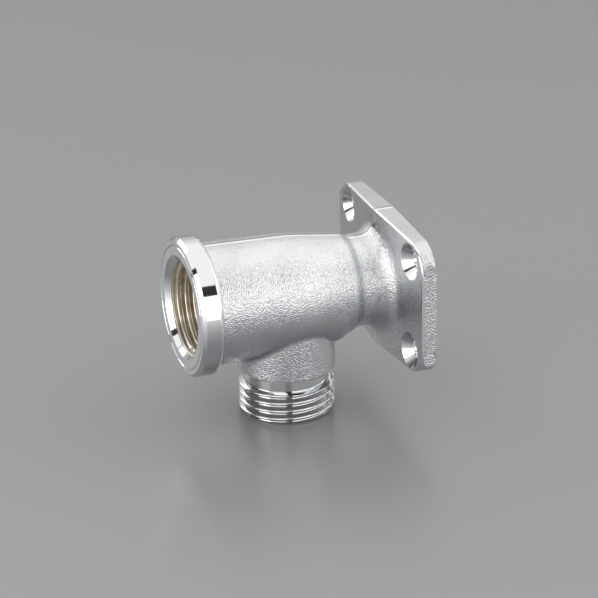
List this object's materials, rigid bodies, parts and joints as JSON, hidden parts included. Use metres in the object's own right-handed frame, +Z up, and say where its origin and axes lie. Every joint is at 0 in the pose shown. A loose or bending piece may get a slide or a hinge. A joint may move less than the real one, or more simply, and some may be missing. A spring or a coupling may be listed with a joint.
{
  "type": "wall plate elbow",
  "caption": "Cast pipe elbow on a screw-down wall plate, with a female threaded socket in front and a male threaded spigot below.",
  "frame": {"origin": "middle of the wall plate's flat back face, on the axis of the horizontal barrel", "axes": "+Y points into the wall and the socket opens towards -Y; +Z is up and the spigot hangs along -Z; +X runs along the plate's long side"},
  "size_m": [0.049, 0.0488, 0.0429],
  "materials": {
    "chromed_brass": "satin chrome plate on the cast skin, bright where it is turned"
  },
  "bodies": {
    "root": {"elbow_body": "chromed_brass"}
  },
  "joints": []
}
